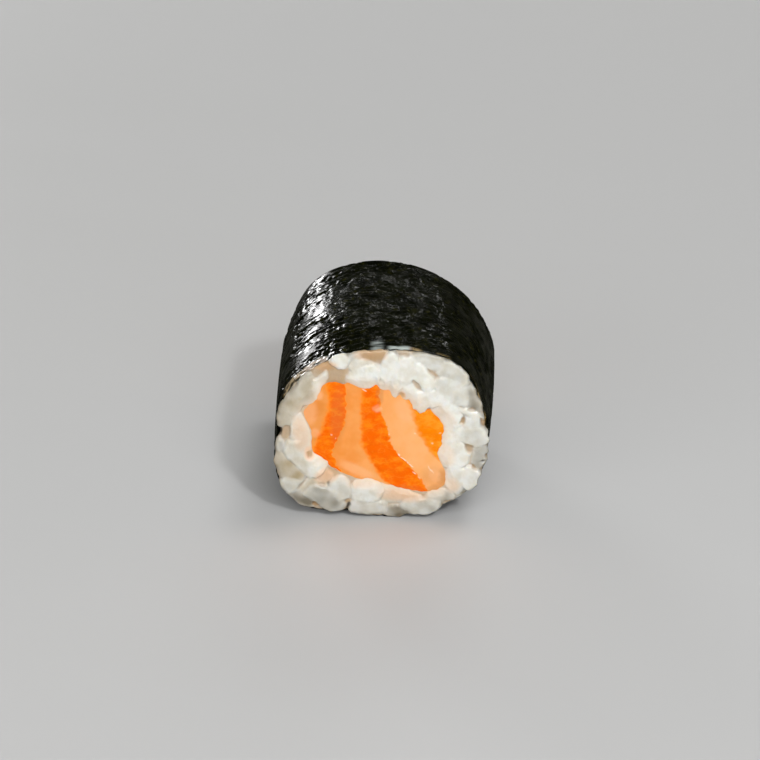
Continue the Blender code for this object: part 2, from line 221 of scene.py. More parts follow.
# The front grains: how far each one's top stands out beyond the nori's edge, its look and how strong that
# is, and the x and y of its corners, clockwise.
FRONT_GRAINS = (
    (0.8, "white", 0, 330, 359, 334, 353, 341, 351, 346, 353, 350, 359, 345, 367, 338, 366),
    (0.3, "tan", 0.8, 310, 371, 330, 360, 349, 364, 348, 383, 322, 384, 316, 377),
    (0.35, "grey", 0.3, 346, 356, 352, 352, 361, 350, 362, 358, 351, 364),
    (0.3, "tan", 0.85, 358, 351, 386, 350, 387, 358, 380, 363, 366, 361),
    (0.5, "beige", 0.2, 349, 366, 353, 360, 362, 358, 378, 362, 382, 370, 352, 373),
    (0.65, "white", 0, 346, 379, 349, 371, 364, 364, 374, 364, 380, 372, 377, 382, 368, 388, 353, 384),
    (0.8, "white", 0, 379, 374, 381, 364, 387, 354, 393, 351, 398, 356, 399, 368, 397, 380, 388, 384),
    (0.72, "white", 0, 396, 362, 402, 356, 410, 354, 416, 360, 415, 374, 410, 380, 401, 381, 395, 372),
    (0.78, "white", 0, 408, 370, 414, 362, 420, 362, 433, 376, 434, 385, 429, 389, 422, 388, 411, 378),
    (0.6, "white", 0, 391, 381, 399, 377, 411, 379, 418, 387, 414, 394, 404, 393, 394, 391),
    (0.48, "beige", 0.15, 378, 381, 384, 377, 394, 380, 395, 390, 386, 391, 379, 387),
    (0.48, "white", 0, 391, 385, 401, 387, 400, 391, 397, 398, 393, 397, 390, 391),
    (0.42, "grey", 0.15, 411, 355, 422, 351, 436, 353, 447, 358, 442, 369, 428, 369, 417, 363),
    (0.6, "grey", 0.2, 438, 374, 440, 364, 447, 358, 458, 363, 466, 372, 470, 382, 463, 385, 449, 380),
    (0.66, "grey", 0.1, 433, 382, 442, 376, 456, 378, 466, 384, 469, 396, 467, 405, 456, 404, 440, 392),
    (0.74, "white", 0, 427, 391, 435, 388, 456, 404, 463, 415, 461, 423, 453, 428, 445, 424, 430, 403),
    (0.66, "white", 0, 408, 393, 416, 390, 428, 391, 432, 399, 428, 405, 421, 413, 413, 406),
    (0.62, "white", 0, 419, 392, 428, 388, 437, 397, 434, 406, 426, 406),
    (0.56, "white", 0, 404, 386, 414, 385, 418, 393, 412, 399, 406, 393),
    (0.62, "white", 0, 398, 383, 410, 383, 411, 394, 405, 398, 399, 394),
    (0.5, "beige", 0.1, 430, 405, 437, 402, 452, 418, 455, 430, 447, 430, 437, 416),
    (0.4, "grey", 0.45, 464, 388, 469, 382, 476, 391, 477, 396, 467, 398),
    (0.35, "grey", 0.8, 467, 400, 472, 394, 478, 396, 482, 406, 480, 413, 468, 408),
    (0.7, "grey", 0.12, 460, 409, 468, 407, 481, 413, 482, 418, 474, 417),
    (0.6, "grey", 0.1, 463, 419, 467, 413, 480, 417, 480, 426, 471, 429, 462, 425),
    (0.72, "grey", 0.2, 460, 437, 462, 428, 472, 425, 482, 427, 488, 434, 487, 441, 478, 445, 466, 443),
    (0.55, "white", 0, 440, 438, 445, 427, 456, 423, 464, 427, 464, 438, 455, 444, 443, 444),
    (0.68, "white", 0, 437, 450, 443, 442, 455, 439, 464, 443, 469, 453, 467, 462, 455, 468, 444, 464),
    (0.55, "grey", 0.5, 472, 457, 476, 446, 484, 443, 489, 448, 489, 455, 484, 464, 478, 467, 473, 463),
    (0.78, "grey", 0.12, 462, 474, 466, 466, 474, 466, 481, 472, 477, 481, 469, 488, 463, 483),
    (0.6, "beige", 0.1, 445, 478, 447, 468, 457, 464, 465, 468, 465, 482, 458, 492, 448, 488),
    (0.38, "grey", 0.75, 456, 493, 463, 484, 472, 484, 467, 492, 457, 497),
    (0.42, "grey", 0.5, 440, 497, 444, 489, 451, 488, 456, 495, 452, 501, 442, 502),
    (0.48, "grey", 0.3, 425, 496, 432, 489, 443, 488, 445, 495, 438, 501, 428, 499),
    (0.58, "grey", 0.35, 409, 509, 415, 499, 428, 496, 439, 500, 440, 507, 430, 513, 415, 514),
    (0.45, "grey", 0.25, 400, 504, 405, 497, 418, 494, 426, 498, 418, 507, 407, 509),
    (0.32, "grey", 0.9, 381, 513, 384, 506, 402, 504, 414, 509, 414, 516, 392, 517),
    (0.42, "beige", 0.3, 378, 497, 379, 483, 389, 480, 405, 488, 424, 493, 422, 498, 402, 500, 386, 507),
    (0.66, "grey", 0.1, 350, 490, 355, 481, 367, 477, 379, 481, 383, 490, 378, 499, 363, 501, 353, 498),
    (0.45, "grey", 0.25, 349, 506, 354, 498, 372, 499, 385, 500, 386, 510, 370, 513, 351, 511),
    (0.62, "grey", 0.2, 329, 488, 331, 480, 337, 475, 343, 475, 348, 479, 351, 487, 349, 496, 340, 499),
    (0.64, "grey", 0.55, 304, 491, 311, 485, 323, 484, 334, 490, 346, 502, 342, 509, 331, 510, 317, 503),
    (0.38, "tan", 0.3, 317, 482, 321, 474, 327, 468, 332, 474, 330, 482, 324, 485),
    (0.38, "beige", 0.55, 299, 487, 306, 478, 314, 475, 321, 483, 314, 487, 305, 491),
    (0.36, "grey", 0.75, 287, 492, 297, 487, 307, 489, 314, 498, 312, 505, 302, 505, 292, 499),
    (0.6, "grey", 0.3, 279, 481, 285, 476, 296, 477, 303, 480, 297, 488, 289, 493),
    (0.42, "beige", 0.65, 275, 460, 278, 451, 286, 452, 298, 464, 306, 473, 301, 480, 284, 479),
    (0.66, "beige", 0.3, 284, 450, 288, 440, 300, 439, 308, 450, 318, 474, 310, 477, 300, 468, 288, 457),
    (0.8, "white", 0, 306, 455, 312, 453, 327, 461, 323, 470, 317, 476, 310, 474),
    (0.6, "beige", 0.15, 291, 436, 293, 418, 300, 412, 308, 418, 309, 429, 314, 437, 311, 449, 303, 448),
    (0.35, "grey", 0.5, 276, 446, 278, 437, 283, 440, 285, 450, 279, 452),
    (0.52, "beige", 0.5, 275, 421, 281, 404, 291, 389, 299, 384, 307, 396, 300, 408, 292, 423, 280, 426),
    (0.58, "beige", 0.5, 297, 387, 302, 374, 310, 371, 316, 380, 318, 392, 314, 401, 304, 403),
    (0.62, "white", 0, 313, 388, 313, 379, 320, 377, 321, 386, 317, 399),
    (0.62, "white", 0, 316, 381, 321, 373, 326, 370, 328, 375, 322, 384),
)

# Hollows between them, the same way, with the level of each one's floor. The dark ones are painted shade
# in deep gaps.
FRONT_HOLLOWS = (
    (0.35, "tan", 0.6, 411, 379, 414, 377, 420, 382, 423, 390, 417, 388),
    (0.2, "tan", 0.7, 425, 366, 431, 368, 438, 373, 440, 377, 434, 376),
    (0.2, "tan", 0.6, 398, 354, 404, 351, 411, 352, 408, 355),
    (0.15, "tan", 0.8, 459, 421, 464, 414, 466, 416, 463, 424),
    (0.15, "tan", 0.8, 480, 415, 484, 418, 487, 428, 482, 426),
    (0.2, "tan", 0.7, 460, 441, 477, 444, 472, 452, 470, 459, 466, 448),
    (0.1, "tan", 1.0, 471, 462, 474, 462, 477, 468, 473, 467),
    (0.2, "tan", 0.6, 467, 407, 474, 406, 476, 410, 469, 409),
    (0.2, "tan", 0.7, 485, 453, 489, 450, 490, 455, 486, 456),
    (0.1, "dark", 0.5, 479, 459, 486, 458, 484, 462),
    (0.2, "tan", 0.6, 306, 450, 312, 450, 313, 456, 309, 457),
    (0.2, "tan", 0.7, 281, 438, 281, 428, 285, 424, 291, 425, 291, 434, 286, 439),
    (-0.3, "dark", 1.0, 276, 434, 277, 427, 282, 427, 281, 435),
    (0.15, "tan", 0.8, 344, 499, 351, 497, 351, 502, 346, 503),
    (-0.3, "dark", 0.9, 345, 509, 348, 501, 351, 502, 347, 511),
    (0.0, "dark", 0.7, 327, 484, 328, 479, 330, 480, 329, 485),
    (0.2, "tan", 0.5, 318, 481, 324, 480, 328, 484, 320, 484),
    (0.2, "tan", 0.5, 296, 488, 306, 476, 308, 477, 299, 488),
    (0.1, "tan", 0.9, 311, 504, 313, 499, 320, 503, 318, 506),
    (0.2, "tan", 0.5, 440, 502, 444, 499, 454, 498, 448, 502),
    (0.2, "tan", 0.7, 420, 494, 425, 491, 427, 493, 423, 496),
    (0.3, "tan", 0.5, 399, 391, 405, 392, 405, 396, 400, 396),
)

# Ovals where the salmon tints the front rice: the x and y of both ends, the width, and how strong it is.
FRONT_BLUSHES = (
    (407, 399, 414, 405, 10, 0.45),
    (400, 394, 404, 394, 5, 1.0),
    (386, 388, 398, 394, 7, 0.4),
    (309, 446, 311, 456, 6, 0.7),
    (383, 491, 424, 493, 12, 0.55),
    (300, 415, 304, 446, 13, 0.4),
    (441, 443, 448, 462, 14, 0.3),
    (448, 478, 455, 488, 10, 0.35),
    (434, 405, 450, 424, 14, 0.25),
    (350, 480, 378, 480, 9, 0.35),
    (319, 478, 336, 468, 12, 0.7),
    (312, 364, 334, 364, 6, 0.7),
    (358, 354, 384, 354, 6, 0.5),
)

# Bands of orange flesh: the y and x of points down each one's left and right side.
FLESH_BANDS = (
    (
        (380, 325, 395, 329, 410, 328, 430, 321, 450, 313, 470, 305),
        (380, 345, 410, 346, 420, 345, 430, 342, 440, 336, 450, 332, 460, 335, 472, 342),
    ),
    (
        (380, 366, 392, 362, 440, 361, 450, 365, 460, 371, 470, 377, 480, 385, 488, 400, 495, 412),
        (380, 378, 400, 380, 413, 381, 430, 388, 440, 390, 448, 393, 460, 406, 472, 416, 490, 428),
    ),
    (
        (400, 408, 412, 412, 420, 415, 430, 418, 438, 423, 443, 426, 454, 433, 460, 440, 465, 452),
        (400, 470, 462, 470),
    ),
)

# Painted wet glints, and a few light specks, on the front salmon, as ovals too.
FLESH_GLINTS_AND_SPECKS = (
    (398, 453, 400, 455, 0.8, 0.9),
    (401, 456, 406, 460, 0.7, 1.0),
    (407, 461, 408, 462, 0.7, 0.9),
    (409, 463, 413, 466, 0.7, 0.9),
    (413, 471, 416, 473, 0.8, 0.9),
    (418, 476, 420, 478, 0.7, 0.5),
    (428, 465, 433, 472, 0.7, 0.6),
    (331, 433, 332, 434, 0.9, 0.6),
    (336, 437, 336, 438, 0.8, 0.5),
    (432, 442, 433, 443, 0.9, 0.7),
    (389, 433, 389, 434, 0.9, 0.5),
    (363, 388, 366, 390, 1.2, 0.7),
    (440, 432, 441, 432, 0.8, 0.4),
    (415, 432, 416, 433, 0.8, 0.5),
)
# Soft paler places, the same way.
FLESH_CLOUDS = (
    (375, 406, 379, 409, 6, 0.35),
    (378, 408, 379, 410, 5, 0.3),
    (398, 400, 410, 420, 14, 0.3),
    (310, 400, 308, 424, 13, 0.4),
    (318, 391, 318, 398, 7, 0.5),
    (312, 435, 317, 429, 7, 0.4),
    (340, 461, 374, 477, 8, 0.4),
    (432, 469, 438, 480, 8, 0.3),
)
# Browner places, the same way.
FLESH_SHADES = (
    (447, 470, 446, 486, 13, 0.6),
    (430, 490, 444, 487, 8, 0.5),
    (424, 478, 440, 474, 15, 0.25),
    (398, 487, 420, 491, 5, 0.2),
    (380, 386, 380, 400, 2, 0.35),
    (339, 390, 337, 438, 9, 0.25),
    (318, 392, 313, 432, 14, 0.2),
)
# How much longer and wider than its row an oval is made, and how sharp it is.
BLUSH_OVALS = (0.5, 0.5, 0.4)
GLINT_SPECK_OVALS = (0.1, 0.06, 1.0)
CLOUD_OVALS = (0.4, 0.4, 0.5)
SHADE_OVALS = (0.6, 0.6, 0.4)
OVAL_POWERS = (2.6, 2.4)  # how square they are, along and across

# Colours.
NORI = {
    "dark": (0.0008, 0.0012, 0.0002),
    "light": (0.0034, 0.0042, 0.0010),
    "olive": (0.052, 0.050, 0.008),
    "dark gold": (0.14, 0.09, 0.02),
    "light gold": (0.60, 0.44, 0.22),
    # colours of the painted highlight on the rim, plain and where the rim is golden
    "painted_highlight": (0.52, 0.58, 0.55),
    "golden highlight": (0.62, 0.52, 0.45),
}
RICE = {
    "dull": (0.78, 0.76, 0.68),
    "bright": (0.86, 0.865, 0.82),
    "beige": (0.42, 0.33, 0.19),
    "grey": (0.20, 0.18, 0.135),
    # painted light: brightens the rice's edge by the salmon, against the shade of its slope
    "thin_edge_glow": (1.0, 0.95, 0.86),
    "blush": (0.92, 0.54, 0.29),
    "tan": (0.48, 0.30, 0.14),
    # painted shade for deep gaps between the grains
    "dark": (0.02, 0.012, 0.008),
}
SALMON = {
    "left fat": ((0.87, 0.29, 0.05), (0.91, 0.34, 0.08)),
    "right fat": ((0.95, 0.43, 0.15), (0.96, 0.46, 0.18)),
    "flesh": ((0.94, 0.14, 0.0), (0.99, 0.24, 0.005)),
    "yellow flesh": ((0.97, 0.23, 0.0), (0.99, 0.34, 0.02)),
    "edge": (0.99, 0.29, 0.03),
    "yellow edge": (0.99, 0.39, 0.07),
    # the fibres' lighter orange, also used for painted glints on the flesh
    "fibre_and_glint": (1.0, 0.34, 0.04),
    "brown": (0.52, 0.22, 0.07),
    "cloud": (1.0, 0.55, 0.30),
    # painted glints on the salmon
    "painted_highlight": (1.0, 0.72, 0.52),
}
FLOOR_GREY = (0.54, 0.54, 0.54, 1)
FLOOR_REACH = 3.0  # metres
ROOM_COLOUR = (1.0, 1.0, 0.8, 1)
ROOM_STRENGTH = 0.05

# The lights: place and size in metres, watts, and whether glossy surfaces mirror it.
LIGHTS = {
    "window": ((-0.275, 0.47, 0.085), 0.14, 1.05, True),
    "front": ((0.1, -0.47, 0.42), 0.55, 2.6, True),
    "fill": ((-0.4, -0.5, 0.12), 0.5, 1.7, False),
    "spark": ((0.22, -0.40, 0.44), 0.05, 1.0, True),
    "top": ((0.2, 0.12, 0.6), 0.22, 0.9, True),
    "back": ((0.12, 0.6, 0.26), 0.3, 1.0, False),
}
# Small lights behind the piece, which the nori mirrors where it leans by these degrees.
GLINTS = 9
GLINT_LEANS = (-32, 24)
GLINT_FAR = 0.5  # metres away
GLINT = (0.014, 0.0075, True)  # size, watts and whether it is mirrored


def on_front(px, py):
    """The (x, z) on the front cut face that a pixel of the photograph shows."""
    ray = FORWARD + RIGHT * (px - PHOTO_SIDE / 2) / FOCAL - UP * (py - PHOTO_SIDE / 2) / FOCAL
    spot = CAMERA_AT + ray * (-HALF - CAMERA_AT[1]) / ray[1]
    return spot[0], spot[2]


def to_photo(x, z):
    """The pixel of the photograph that shows the place (x, z) on the front cut face."""
    away = np.stack([x, np.full_like(x, -HALF), z], axis=-1) - CAMERA_AT
    scale = FOCAL / (away @ FORWARD)
    return PHOTO_SIDE / 2 + (away @ RIGHT) * scale, PHOTO_SIDE / 2 - (away @ UP) * scale


def smooth_step(t):
    """Rises smoothly from 0 to 1 as t does."""
    t = np.clip(t, 0, 1)
    return t * t * (3 - 2 * t)


def noise_at(x, y, z, size, shift):
    """Smooth noise between -1 and 1 with lumps of this size."""
    points = np.stack(np.broadcast_arrays(x, y, z), axis=-1)
    places = (points / size + shift).reshape(-1, 3).tolist()
    return np.array([noise.noise(place) for place in places]).reshape(points.shape[:-1])


def noise_sum(rows, x, z, y=0.0):
    """The noise that these rows of depth, size and place give together."""
    return sum(depth * noise_at(x, y, z, size, shift) for depth, size, shift in rows)


def blurred(values, reach, closed):
    """Values averaged over this many neighbours on each side, along the first axis."""
    pad = [(reach, reach)] + [(0, 0)] * (values.ndim - 1)
    padded = np.pad(values, pad, mode="wrap" if closed else "edge")
    return sum(padded[k : k + len(values)] for k in range(2 * reach + 1)) / (2 * reach + 1)


def reach_of(node, angles, along):
    """Distances from the roll's axis to a CAD node's outside, a row for each angle."""
    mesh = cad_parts[node].data
    tree = BVHTree.FromPolygons([v.co for v in mesh.vertices], [list(p.vertices) for p in mesh.polygons])
    far = 2 * AXIS_HEIGHT
    reach = np.zeros((len(angles), len(along)))
    for i, angle in enumerate(np.radians(angles)):
        out = Vector((math.cos(angle), 0, math.sin(angle)))
        for j, y in enumerate(along):
            axis = Vector((0, y, AXIS_HEIGHT)) * MM
            hit = tree.ray_cast(axis + out * far * MM, -out)[0]
            reach[i, j] = (hit - axis).length / MM
    return reach


def around_axis(angles, reach, y):
    """Points at these distances from the roll's axis."""
    turned = np.radians(angles)
    x, y, z = np.broadcast_arrays(reach * np.cos(turned), y, AXIS_HEIGHT + reach * np.sin(turned))
    return np.stack([x, y, z], axis=-1)


def new_object(name, data):
    """A new object in the scene."""
    made = bpy.data.objects.new(name, data)
    bpy.context.scene.collection.objects.link(made)
    return made


def new_piece(name, points, faces, look, slot, *nodes):
    """A smooth mesh piece that rides on the part and stands for these CAD nodes."""
    mesh = bpy.data.meshes.new(name)
    mesh.from_pydata((points.reshape(-1, 3) * MM).tolist(), [], faces)
    mesh.shade_smooth()
    mesh.materials.append(look)
    piece = new_object(name, mesh)
    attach(piece, "root")
    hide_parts(*nodes)
    return piece


def keep_values(piece, names, values):
    """Stores values on the piece's points for its material to read."""
    for name, numbers in zip(names, values.reshape(-1, len(names)).T):
        attribute = piece.data.attributes.new(name, "FLOAT", "POINT")
        attribute.data.foreach_set("value", numbers.astype(np.float32))


def quads(rows, columns, closed_rows, closed_columns):
    """The faces of a grid of points."""
    at = np.arange(rows * columns).reshape(rows, columns)
    if closed_rows:
        at = np.concatenate([at, at[:1]])
    if closed_columns:
        at = np.concatenate([at, at[:, :1]], axis=1)
    corners = (at[:-1, :-1], at[:-1, 1:], at[1:, 1:], at[1:, :-1])
    return np.stack([corner.ravel() for corner in corners], axis=1).tolist()


# Materials


class Look:
    """A material whose nodes are added one by one."""

    # A Mix node's sockets for a share and two colours, by number as several have one name.
    MIX_INPUTS = (0, 6, 7)
    MIX_RESULT = 2

    def __init__(self, name):
        self.material = bpy.data.materials.new(name)
        self.material.use_nodes = True
        self.tree = self.material.node_tree
        self.shader = self.tree.nodes["Principled BSDF"]

    def add(self, kind, inputs, **settings):
        """A node with these inputs and settings; gives its first output."""
        made = self.tree.nodes.new("ShaderNode" + kind)
        for name, value in settings.items():
            setattr(made, name, value)
        self.fill(made, inputs)
        return made.outputs[0]

    def fill(self, made, inputs):
        """Sets a node's inputs, each to a value or to another node's output."""
        for name, value in inputs.items():
            if isinstance(value, bpy.types.NodeSocket):
                self.tree.links.new(value, made.inputs[name])
            else:
                made.inputs[name].default_value = value

    def finish(self, **inputs):
        """Sets the shader's own inputs, with _ for a space in their names."""
        self.fill(self.shader, {name.replace("_", " "): value for name, value in inputs.items()})
        return self.material

    def value(self, name):
        """Numbers kept on the piece's points."""
        made = self.tree.nodes.new("ShaderNodeAttribute")
        made.attribute_name = name
        return made.outputs["Fac"]

    def places(self, stretch=(1, 1, 1)):
        """Places on the piece in millimetres, stretched."""
        spots = self.tree.nodes.new("ShaderNodeTexCoord").outputs["Object"]
        return self.add("VectorMath", {0: spots, 1: [s / MM for s in stretch]}, operation="MULTIPLY")

    def noise(self, places, size, detail, rough):
        """Noise with lumps of this size in millimetres."""
        inputs = {"Vector": places, "Scale": 1 / size, "Detail": detail, "Roughness": rough}
        return self.add("TexNoise", inputs)

    def ramp(self, value, low, high, to_low=0.0, to_high=1.0):
        """Takes value from low to high onto to_low to to_high."""
        inputs = {"Value": value, "From Min": low, "From Max": high, "To Min": to_low, "To Max": to_high}
        return self.add("MapRange", inputs, interpolation_type="SMOOTHSTEP")

    def mix(self, share, first, second):
        """A mix of two colours, each a value or another node's output."""
        made = self.tree.nodes.new("ShaderNodeMix")
        made.data_type = "RGBA"
        colours = [(*colour, 1) if isinstance(colour, tuple) else colour for colour in (first, second)]
        self.fill(made, dict(zip(self.MIX_INPUTS, (share, *colours))))
        return made.outputs[self.MIX_RESULT]

    def math(self, operation, first, second):
        """Two numbers added, multiplied and so on."""
        return self.add("Math", {0: first, 1: second}, operation=operation)

    def bump(self, height, distance):
        """Relief this deep in millimetres."""
        return self.add("Bump", {"Height": height, "Distance": distance * MM})


def nori_look():
    """Nearly black, with olive places, a patchy gloss, and its rim's gold marks and painted highlights.
    """
    look = Look("nori_surface")
    spots = look.places()
    fine = look.noise(look.places((0.6, 1.3, 0.6)), 0.4, 1, 0.5)
    patches = look.noise(spots, 2.6, 3, 0.6)
    olive = look.ramp(look.noise(spots, 0.9, 5, 0.7), 0.54, 0.72)
    grain = look.ramp(look.noise(spots, 0.5, 2, 0.5), 0.4, 0.6)
    golden = look.mix(grain, NORI["dark gold"], NORI["light gold"])
    colour = look.mix(look.ramp(patches, 0.3, 0.7), NORI["dark"], NORI["light"])
    colour = look.mix(look.math("MULTIPLY", olive, 0.5), colour, NORI["olive"])
    colour = look.mix(look.value("gold"), colour, golden)
    # the painted highlight on the rim marks
    highlight_paint = look.mix(look.ramp(look.value("gold"), 0.0, 0.25), NORI["painted_highlight"], NORI["golden highlight"])
    colour = look.mix(look.value("painted_highlight"), colour, highlight_paint)
    gloss = look.noise(look.places((1.0, 0.6, 1.0)), 1.6, 3, 0.6)
    relief = look.bump(fine, 0.045)
    return look.finish(
        Base_Color=colour,
        Roughness=look.ramp(fine, 0.3, 0.7, 0.2, 0.34),
        Specular_IOR_Level=0.02,
        Normal=relief,
        Coat_Weight=look.ramp(gloss, 0.42, 0.6, 0.08, 0.62),
        Coat_Roughness=0.05,
        Coat_Normal=relief,
    )


def rice_look():
    """Cloudy white and moist, tinted by the looks that its points keep, with painted light brightening
    its edge by the salmon.
    """
    look = Look("rice_grain")
    spots = look.places()
    fine = look.noise(spots, 0.22, 3, 0.55)
    cloudy = look.noise(spots, 1.3, 2, 0.5)
    thin_edge_glow = look.value("thin_edge_glow")
    colour = look.mix(look.ramp(cloudy, 0.35, 0.65), RICE["dull"], RICE["bright"])
    colour = look.mix(look.value("beige"), colour, RICE["beige"])
    colour = look.mix(look.value("grey"), colour, RICE["grey"])
    # painted light brightening the rice's edge by the salmon
    colour = look.mix(look.math("MULTIPLY", thin_edge_glow, 0.8), colour, RICE["thin_edge_glow"])
    # the salmon's tint, the tan of hollows, and painted shade in deep gaps
    for name in ("blush", "tan", "dark"):
        colour = look.mix(look.value(name), colour, RICE[name])
    return look.finish(
        Base_Color=colour,
        Roughness=look.ramp(fine, 0.3, 0.7, 0.3, 0.45),
        Specular_IOR_Level=0.4,
        Normal=look.bump(fine, 0.03),
        Subsurface_Weight=look.ramp(thin_edge_glow, 0.0, 1.0, 0.78, 0.25),
        Subsurface_Radius=(1.0, 0.85, 0.65),
        Subsurface_Scale=0.6 * MM,
        Coat_Weight=0.8,
        Coat_Roughness=0.08,
        Coat_Normal=look.bump(fine, 0.05),
    )


def salmon_look():
    """Banded flesh and fat, with painted glints, and the paler, browner and yellower places that its
    points keep.
    """
    look = Look("salmon_meat")
    spots = look.places()
    fine = look.noise(spots, 0.3, 3, 0.6)
    lumps = look.ramp(look.noise(look.places((0.7, 1, 1.2)), 1.3, 4, 0.6), 0.42, 0.66)
    fibres = look.math("SUBTRACT", look.noise(look.places((0.8, 1, 1.4)), 2.2, 2, 0.5), 0.5)
    fibres = look.ramp(look.math("ABSOLUTE", fibres, 0.0), 0.0, 0.03, 0.2, 0.0)
    clouds = look.ramp(look.noise(spots, 2.2, 2, 0.5), 0.35, 0.65)
    meat, yellow = look.value("flesh"), look.value("yellow")
    left_fat, right_fat = (look.mix(clouds, *SALMON[name]) for name in ("left fat", "right fat"))
    flesh, yellow_flesh = (look.mix(lumps, *SALMON[name]) for name in ("flesh", "yellow flesh"))
    flesh = look.mix(fibres, look.mix(yellow, flesh, yellow_flesh), SALMON["fibre_and_glint"])
    fat = look.mix(look.value("side"), left_fat, right_fat)
    edge = look.mix(yellow, SALMON["edge"], SALMON["yellow edge"])
    colour = look.mix(look.ramp(meat, 0.0, 0.6), fat, edge)
    colour = look.mix(look.ramp(meat, 0.35, 1.0), colour, flesh)
    # painted glints: fine bright specks on the flesh, in the same lighter orange as the fibres
    glint_specks = look.math("MULTIPLY", look.ramp(look.noise(spots, 0.35, 3, 0.6), 0.58, 0.75), meat)
    colour = look.mix(look.math("MULTIPLY", glint_specks, 0.25), colour, SALMON["fibre_and_glint"])
    for name in ("brown", "cloud", "painted_highlight"):
        colour = look.mix(look.value(name), colour, SALMON[name])
    return look.finish(
        Base_Color=colour,
        Roughness=look.ramp(fine, 0.3, 0.7, 0.28, 0.42),
        Specular_IOR_Level=0.05,
        Normal=look.bump(fine, 0.03),
        Subsurface_Weight=0.25,
        Subsurface_Radius=(1.0, 0.4, 0.15),
        Subsurface_Scale=0.35 * MM,
        Coat_Weight=0.1,
        Coat_Roughness=0.07,
    )


# Nori


def crease_depth(angles, y):
    """How far the crinkled sheet lies below its smooth outline."""
    turned = np.radians(angles)
    x, z = AXIS_HEIGHT * np.cos(turned), AXIS_HEIGHT * np.sin(turned)
    bent = y + noise_sum(CREASE_BENDS, x, z, y)
    top, half, fade = PLAIN_TOP
    side = smooth_step((np.abs(angles - top) - half) / fade)
    depth = CREASE_BOTTOM + noise_sum(CREASE_WAVES, x, z, y)
    for around, along, shift, swell, on_sides in CREASES:
        depth -= (swell + on_sides * side) * np.abs(noise_at(x, bent, z, (around, along, around), shift))
    return depth


def rim_marks(angles, outer, y):
    """How golden each place on the nori is, and how strong a painted highlight it carries."""
    streaks = noise_sum(MARK_STREAKS, outer[..., 0], outer[..., 2], outer[..., 1])
    patches = smooth_step(streaks + MARK_COVER)
    gold, painted_highlight = np.zeros_like(patches), np.zeros_like(patches)
    fade_round, fade_along = MARK_FADES
    for middle, half, back, golden, highlight_strength in RIM_MARKS:
        apart = np.abs((angles - middle + 180) % 360 - 180)
        mark = patches * smooth_step((half - apart) / fade_round + 0.5)
        mark *= smooth_step((back - HALF - y) / fade_along + 0.5)
        gold = np.maximum(gold, golden * mark)
        painted_highlight = np.maximum(painted_highlight, highlight_strength * mark)
    return np.stack([gold, painted_highlight], axis=-1)


def make_nori():
    """One sheet, wound a little more than once, with its seam underneath."""
    turned = np.linspace(0, 360 + OVERLAP, NORI_AROUND)
    angles = SEAM - OVERLAP + turned
    ragged = noise_sum(NORI_RAGGED, angles, 0.0)[:, None]
    y = np.linspace(-1, 1, NORI_ALONG) * (HALF - NORI_EDGE + ragged)
    reach = reach_of("nori", angles, np.linspace(-HALF + NORI_CAST, HALF - NORI_CAST, NORI_ALONG))
    reach[turned < OVERLAP] -= LAYERS
    reach = blurred(reach, OUTLINE_BLUR, False)
    angles = angles[:, None]
    depth = np.clip(crease_depth(angles, y), *CREASE_LIMITS)
    rolled = NORI_ROUNDING[0] * (1 - smooth_step((HALF - np.abs(y)) / NORI_ROUNDING[1]))
    outer = around_axis(angles, reach - depth - rolled, y)
    inner = around_axis(angles, reach - depth - NORI_THICK + rolled, y)
    between = range(NORI_RIM + 2, NORI_ALONG - NORI_RIM - 2, NORI_INSIDE)
    kept = [*range(NORI_RIM), *between, *range(NORI_ALONG - NORI_RIM, NORI_ALONG)][::-1]
    points = np.concatenate([outer, inner[:, kept]], axis=1)
    points[..., 2] = np.maximum(points[..., 2], 0.0)
    rows, columns = points.shape[:2]
    faces = quads(rows, columns, False, True)
    for row in (0, rows - 1):
        for k in range(len(kept) - 1):
            outside = list(range(kept[k + 1], kept[k] + 1))
            cap = [row * columns + place for place in (*outside, NORI_ALONG + k, NORI_ALONG + k + 1)]
            faces.append(cap if row else cap[::-1])
    piece = new_piece("nori_sheet", points, faces, nori_look(), "nori", "nori")
    # the rim's gold marks and painted highlights, kept on the points
    marks = rim_marks(angles, outer, y)
    keep_values(piece, ("gold", "painted_highlight"), np.concatenate([marks, marks[:, kept]], axis=1))


# Shapes given in the photograph's pixels


def oval_marks(x, z, rows, longer, wider, sharpness, power=1):
    """How strongly each oval marks each place on the cut face."""
    marks = []
    for x1, y1, x2, y2, width, strength in rows:
        start, end = np.array(on_front(x1, y1)), np.array(on_front(x2, y2))
        scale = (on_front(x1 + 1, y1)[0] - start[0] + start[1] - on_front(x1, y1 + 1)[1]) / 2
        (middle_x, middle_z), (long_x, long_z) = (start + end) / 2, end - start
        length, broad = math.hypot(long_x, long_z) + longer, width * scale + wider
        angle = math.atan2(long_z, long_x)
        along = (x - middle_x) * math.cos(angle) + (z - middle_z) * math.sin(angle)
        across = (z - middle_z) * math.cos(angle) - (x - middle_x) * math.sin(angle)
        out = np.abs(2 * along / length) ** OVAL_POWERS[0] + np.abs(2 * across / broad) ** OVAL_POWERS[1]
        marks.append(strength * smooth_step(sharpness * (1 - out) + 0.5) ** power)
    return np.stack(marks)


def placed_outlines(rows):
    """Grains or hollows on the cut face."""
    placed = []
    for level, kind, strength, *pixels in rows:
        corners = [on_front(px, py) for px, py in zip(pixels[::2], pixels[1::2])]
        placed.append((level, kind, strength, corners))
    return placed


# Rice


def depth_inside(x, z, corners):
    """How far each place lies inside an outline that has no dents, with its corners rounded off."""
    total = 0.0
    for (x1, z1), (x2, z2) in zip(corners, corners[1:] + corners[:1]):
        sharpness = 1 / (GRAIN_CORNERS * math.hypot(x2 - x1, z2 - z1))
        total += np.exp(((x2 - x1) * (z - z1) - (z2 - z1) * (x - x1)) * sharpness)
    return -GRAIN_CORNERS * np.log(total)


